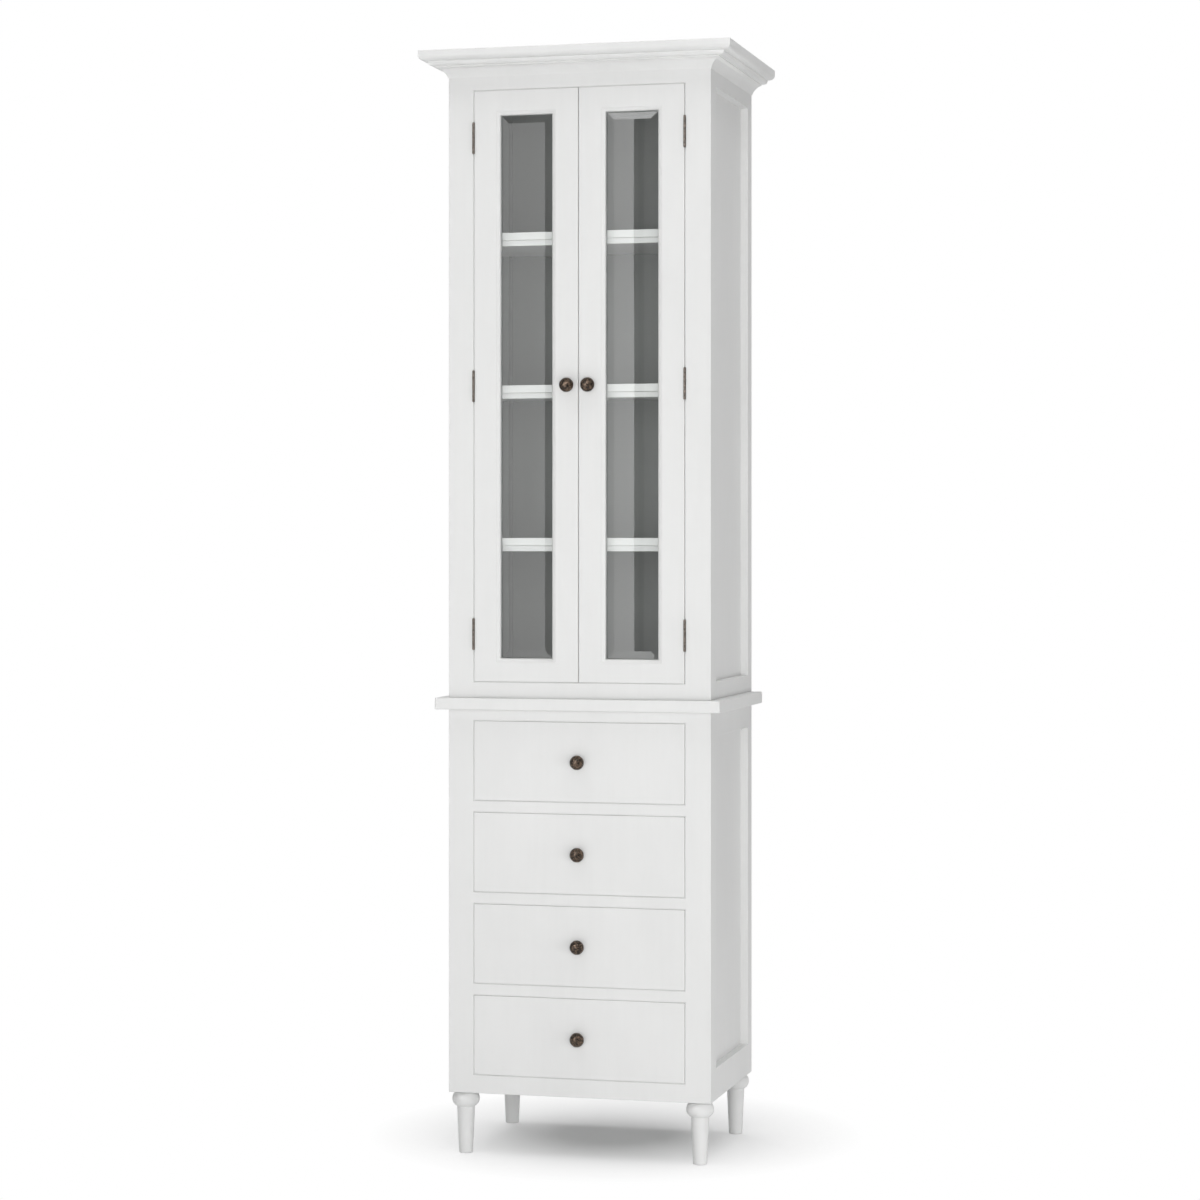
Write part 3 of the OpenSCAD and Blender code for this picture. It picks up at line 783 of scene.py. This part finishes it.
# ---------------------------------------------------------------- doors
def door_frame():
    """Right door's stiles and rails: one board with an opening for the pane."""
    xs = [door_low[0], pane_low[0], pane_high[0], door_high[0]]
    zs = [door_low[2], pane_low[2], pane_high[2], door_high[2]]
    z, x = np.meshgrid(zs, xs, indexing="ij")
    outer = np.stack([x, np.full_like(x, front_y), z], -1)
    inner = np.stack([x, np.full_like(x, INSIDE_Y), z], -1)
    kept = np.ones((3, 3), bool)
    kept[1, 1] = False
    return framework(outer, inner, kept)


def around_pane(section):
    """Section carried round the edge of the right pane."""
    return around_opening(section, [pane_low[0], pane_high[0]], [pane_low[2], pane_high[2]])


def bead_section():
    """Outline of a front bead in millimetres: a narrow flat, then the nearer to the front of a
    straight slope and a round, down to the glass."""
    across = np.concatenate([[0, 0.9], np.linspace(1.5, 7.0, 14)])
    run = np.maximum(across - 1.5, 0)
    front = np.minimum(run * 4.5 / 5.5, 7.0 - np.sqrt(6.6**2 - run**2))
    top = np.stack([across, front + 1.0], -1)
    return np.concatenate([top, [[7.0, 8.0], [0.0, 8.0]]]) * MM


def rear_bead_section():
    """Outline of a rear bead in millimetres: a small square strip with two softened corners."""
    return np.array([[0, 13], [7, 13], [7, 18.4], [6.4, 19], [0, 19]]) * MM


def knuckle(low_z, high_z):
    """Barrel of a hinge, with a fine chamfer at both ends."""
    chamfer = 0.25 * MM
    side = [[0, low_z], [KNUCKLE_R - chamfer, low_z], [KNUCKLE_R, low_z + chamfer]]
    side += [[KNUCKLE_R, high_z - chamfer], [KNUCKLE_R - chamfer, high_z], [0, high_z]]
    return turned(side, [hinge_x, hinge_y, 0], sides=40)


def hinge_leaves(way):
    """Leaves of the hinges on the right: way is 1 on the case and -1 on the door. A leaf is a
    plate in three heights, which reaches its own knuckles and stops short beside the others."""
    cut = HALF_HINGE / 3 + way * KNUCKLE_END_GAP
    heights = [-HALF_HINGE, -cut, cut, HALF_HINGE]
    sides = sorted([hinge_x + way * LEAF_GAP, hinge_x + way * (LEAF_GAP + LEAF_T)])
    solids = []
    for low_z, high_z, own in zip(heights, heights[1:], [way > 0, way < 0, way > 0]):
        near_y = hinge_y if own else hinge_y + LEAF_SET_BACK
        solids.append(board([sides[0], near_y, low_z], [sides[1], hinge_y + LEAF_W, high_z]))
        if own:
            solids.append(knuckle(low_z, high_z))
    return repeated(joined(*solids), [[0, 0, z] for z in hinge_zs])


def screw_heads(way):
    """Three low screw heads on each leaf, facing the gap between door and case."""
    profile = np.array([[0, -0.5], [2.9, -0.5], [2.9, 0.0], [2.6, 0.12], [0, 0.16]]) * MM
    x = hinge_x + way * LEAF_GAP
    heads = []
    for z in hinge_zs:
        for up, back in SCREWS:
            centre = [x, hinge_y + back, z + up]
            heads.append(turned(profile, centre, axis=(-way, 0, 0), sides=24))
    return joined(*heads)


def screw_slots(way):
    """Slots that cross the screw heads."""
    half_slot = np.array([0.4, 2.3, 0.35]) * MM
    slots = []
    for z in hinge_zs:
        for up, back in SCREWS:
            centre = np.array([hinge_x + way * LEAF_GAP, hinge_y + back, z + up])
            slots.append(board(centre - half_slot, centre + half_slot))
    return joined(*slots)


piece(
    "case_hinge_leaves",
    on_both_sides(hinge_leaves(1)),
    HINGE_BRONZE,
    instead_of=["hinge_frame_leaves"],
)
piece(
    "case_hinge_screws",
    on_both_sides(screw_heads(1)),
    HINGE_BRONZE,
    cuts=[on_both_sides(screw_slots(1))],
)
pin_rod = [[0, -31.0], [0.9, -30.9], [1.25, -30.4], [1.25, 30.0], [2.1, 30.05]]
pin_rod += [[2.1, 30.4], [1.7, 30.85], [0.9, 31.0], [0, 31.0]]
hinge_rods = [turned(np.array(pin_rod) * MM, [hinge_x, hinge_y, z], sides=32) for z in hinge_zs]
piece("hinge_rods", on_both_sides(joined(*hinge_rods)), HINGE_BRONZE, instead_of=["hinge_pins"])

door_room = hinge_room(
    HALF_HINGE + 1 * MM,
    HALF_HINGE + 2 * MM,
    hinge_x - LEAF_GAP - LEAF_T,
    door_high[0] + BED_SIDE,
)
for door, side in [["door_left", -1], ["door_right", 1]]:
    piece(
        f"{door}_frame",
        mirrored(door_frame(), side),
        PAINT,
        door,
        [f"{door}_stiles", f"{door}_rails"],
        arris=ARRIS,
        cuts=[mirrored(room, side) for room in door_room],
    )
    strip = board(
        [door_low[0] - 0.5 * MM, front_y + 1.6 * MM, door_low[2] + 0.5 * MM],
        [door_low[0] + 0.2 * MM, front_y + 10 * MM, door_high[2] - 0.5 * MM],
    )
    piece(f"{door}_meeting_strip", mirrored(strip, side), PAINT, door)
    beads = joined(around_pane(bead_section()), around_pane(rear_bead_section()))
    piece(f"{door}_glazing_beads", mirrored(beads, side), PAINT, door, [f"{door}_beads"])
    piece(f"{door}_pull", knob_at(f"{door}_knob"), BRONZE, door, [f"{door}_knob"])
    leaves = mirrored(hinge_leaves(-1), side)
    piece(f"{door}_hinge_plates", leaves, HINGE_BRONZE, door, [f"{door}_hinge_leaves"])
    heads = mirrored(screw_heads(-1), side)
    piece(f"{door}_hinge_screws", heads, HINGE_BRONZE, door, cuts=[mirrored(screw_slots(-1), side)])
    refinish(GLASS, f"{door}_glass")
    refinish(STEEL, f"{door}_catch_plate")


# ---------------------------------------------------------------- drawers
for number in range(1, 5):
    drawer = f"drawer_{number}"
    low, high = corners(f"{drawer}_front")
    piece(f"{drawer}_face", board(low, high), PAINT, drawer, [f"{drawer}_front"], arris=1.2 * MM)
    piece(f"{drawer}_pull", knob_at(f"{drawer}_knob"), BRONZE, drawer, [f"{drawer}_knob"])
    low, high = corners(f"{drawer}_sides")
    bottom_low, bottom_high = corners(f"{drawer}_bottom")
    groove_x = bottom_high[0]
    wall_x = high[0] - DRAWER_SIDE_T
    section = [[high[0], low[2]], [high[0], high[2]], [wall_x, high[2]], [wall_x, bottom_high[2]]]
    section += [[groove_x, bottom_high[2]], [groove_x, bottom_low[2]]]
    section += [[wall_x, bottom_low[2]], [wall_x, low[2]]]
    wall = carried(section, [[0, low[1], 0], [0, high[1], 0]], [1, 0, 0], [0, 0, 1])
    walls = on_both_sides(wall)
    piece(f"{drawer}_walls", walls, WOOD_DEEP, drawer, [f"{drawer}_sides"], arris=FINE_ARRIS)
    low, high = corners(f"{drawer}_back")
    piece(f"{drawer}_rear", board(low, high), WOOD_WIDE, drawer, [f"{drawer}_back"], arris=FINE_ARRIS)
    refinish(WOOD_WIDE, f"{drawer}_bottom")

refinish(WOOD_DEEP, "drawer_runners")
refinish(WOOD_WIDE, "door_catches")
refinish(INNER_PAINT_AND_SHADE, "upper_floor", "base_floor")
refinish(STEEL, "leg_bolts")


# ---------------------------------------------------------------- floor, light and camera
def studio_floor():
    """Round pale floor that turns to a plain white glow, seen straight or through a pane, away from
    the cabinet, measured from a point this far behind its middle. The glow paints light over the
    cabinet's shadow everywhere but round that point."""
    behind = 130 * MM
    finish = Finish("pale_floor_with_painted_glow", "paint")
    point = finish.placed(shift=(0, -behind, 0))
    away = finish.node("ShaderNodeVectorMath", {"operation": "LENGTH"}, {0: point}, "Value")
    grain = finish.clouds(0.35, detail=2.0)
    tone = finish.ranged(grain, 0.3, 0.7)
    base = finish.mixed(tone, colour(0.93, 0.93, 0.93), colour(0.95, 0.95, 0.95))
    matt = finish.node("ShaderNodeBsdfDiffuse", values={"Color": base})
    camera_glow = finish.node("ShaderNodeEmission", values={"Color": WHITE, "Strength": 1.0})
    # Painted light: the camera sees the floor glow white from 0.11 m out, which washes the cabinet's
    # shadow away except round the point behind it.
    far = finish.ranged(away, 0.11, 0.50) * finish.seen_straight()
    finish.show(finish.node("ShaderNodeMixShader", values={0: far, 1: matt, 2: camera_glow}))
    rim = np.array([[0, -0.002], [14, -0.002], [14, -0.0005], [0, -0.0005]])
    floor = new_object("floor", turned(rim, [0, 0, 0], sides=96))
    floor.data.materials.append(finish.material)


def studio_world(light, glint):
    """White behind the cabinet, also through a pane; softer light and dim reflections all round."""
    world = bpy.data.worlds.new("studio")
    world.use_nodes = True
    bpy.context.scene.world = world
    nodes = Nodes(world.node_tree)
    soft, dim, plain = [
        nodes.node("ShaderNodeBackground", values={"Color": WHITE, "Strength": strength})
        for strength in [light, glint, 1.0]
    ]
    mirrored_ray = nodes.node("ShaderNodeLightPath", output="Is Glossy Ray")
    around = nodes.node("ShaderNodeMixShader", values={0: mirrored_ray, 1: soft, 2: dim})
    seen = nodes.node("ShaderNodeMixShader", values={0: nodes.seen_straight(), 1: around, 2: plain})
    nodes.node("ShaderNodeOutputWorld", values={"Surface": seen})


def soft_light(name, centre, target, width, height, radiance, card=False):
    """Rectangular soft light that faces a target, with this brightness per unit of its face.
    A card only shows in reflections; any other light only lights."""
    light = bpy.data.lights.new(name, "AREA")
    light.shape = "RECTANGLE"
    light.size = width
    light.size_y = height
    light.energy = 4 * width * height * radiance
    lamp = bpy.data.objects.new(name, light)
    bpy.context.scene.collection.objects.link(lamp)
    lamp.location = centre
    direction = np.asarray(target, float) - np.asarray(centre, float)
    yaw = math.atan2(direction[0], direction[1])
    level = math.hypot(direction[0], direction[1])
    lamp.rotation_euler = (math.pi / 2 + math.atan2(direction[2], level), 0, -yaw)
    lamp.visible_camera = False
    lamp.visible_glossy = card
    lamp.visible_diffuse = not card
    lamp.visible_transmission = False


def reflected_board(name, across, depth, heights, tone):
    """Upright board that only reflections show, as a darker strip in the panes and knobs.
    across and heights are its two sides and its two ends."""
    finish = Finish(name, "paint")
    finish.show(finish.node("ShaderNodeBsdfDiffuse", values={"Color": colour(tone, tone, tone)}))
    thickness = 10 * MM
    solid = board([across[0], depth, heights[0]], [across[1], depth + thickness, heights[1]])
    made = new_object(name, solid)
    made.data.materials.append(finish.material)
    made.visible_camera = False
    made.visible_diffuse = False
    made.visible_shadow = False
    made.visible_transmission = False


studio_floor()
studio_world(0.28, 0.53)
reflected_board("flag_edge", [-0.584, -0.572], -2.95, [0.3, 3.0], 0.35)
reflected_board("flag_dark", [-0.572, -0.555], -2.95, [0.3, 3.0], 0.02)
reflected_board("flag_soft", [-0.555, -0.500], -2.95, [0.3, 3.0], 0.65)
reflected_board("flag_low", [0.20, 3.0], -2.60, [0.02, 0.80], 0.02)
soft_light("card_left_wide", (-1.50, -3.0, 1.5), (-1.50, 0, 1.5), 1.40, 2.8, 1.9, True)
soft_light("card_left_near", (-0.6825, -3.0, 1.5), (-0.6825, 0, 1.5), 0.235, 2.8, 2.9, True)
soft_light("card_top", (0.2, -3.0, 3.3), (0.2, 0, 3.3), 1.9, 0.6, 5.4, True)
soft_light("front_wash", (1.3, -4.6, 1.05), (0, 0, 0.95), 3.2, 2.6, 3.15)
soft_light("side_low", (3.0, -1.4, 0.30), (0.26, 0, 0.15), 2.4, 0.5, 4.2)
soft_light("overhead", (0.0, -0.3, 4.6), (0.001, -0.3, 0), 4.2, 4.2, 1.55)
soft_light("rear_wash", (-2.6, 4.2, 1.3), (0, 0, 1.1), 3.2, 2.6, 2.5)

lens = bpy.data.cameras.new("camera")
lens.lens = 93.24
lens.sensor_width = 36
lens.shift_y = -0.0483
camera = bpy.data.objects.new("camera", lens)
bpy.context.scene.collection.objects.link(camera)
camera.location = (1.557, -5.965, 1.195)
camera.rotation_euler = (math.radians(90), 0, math.radians(14.63))
bpy.context.scene.camera = camera
bpy.context.scene.view_settings.view_transform = "Standard"
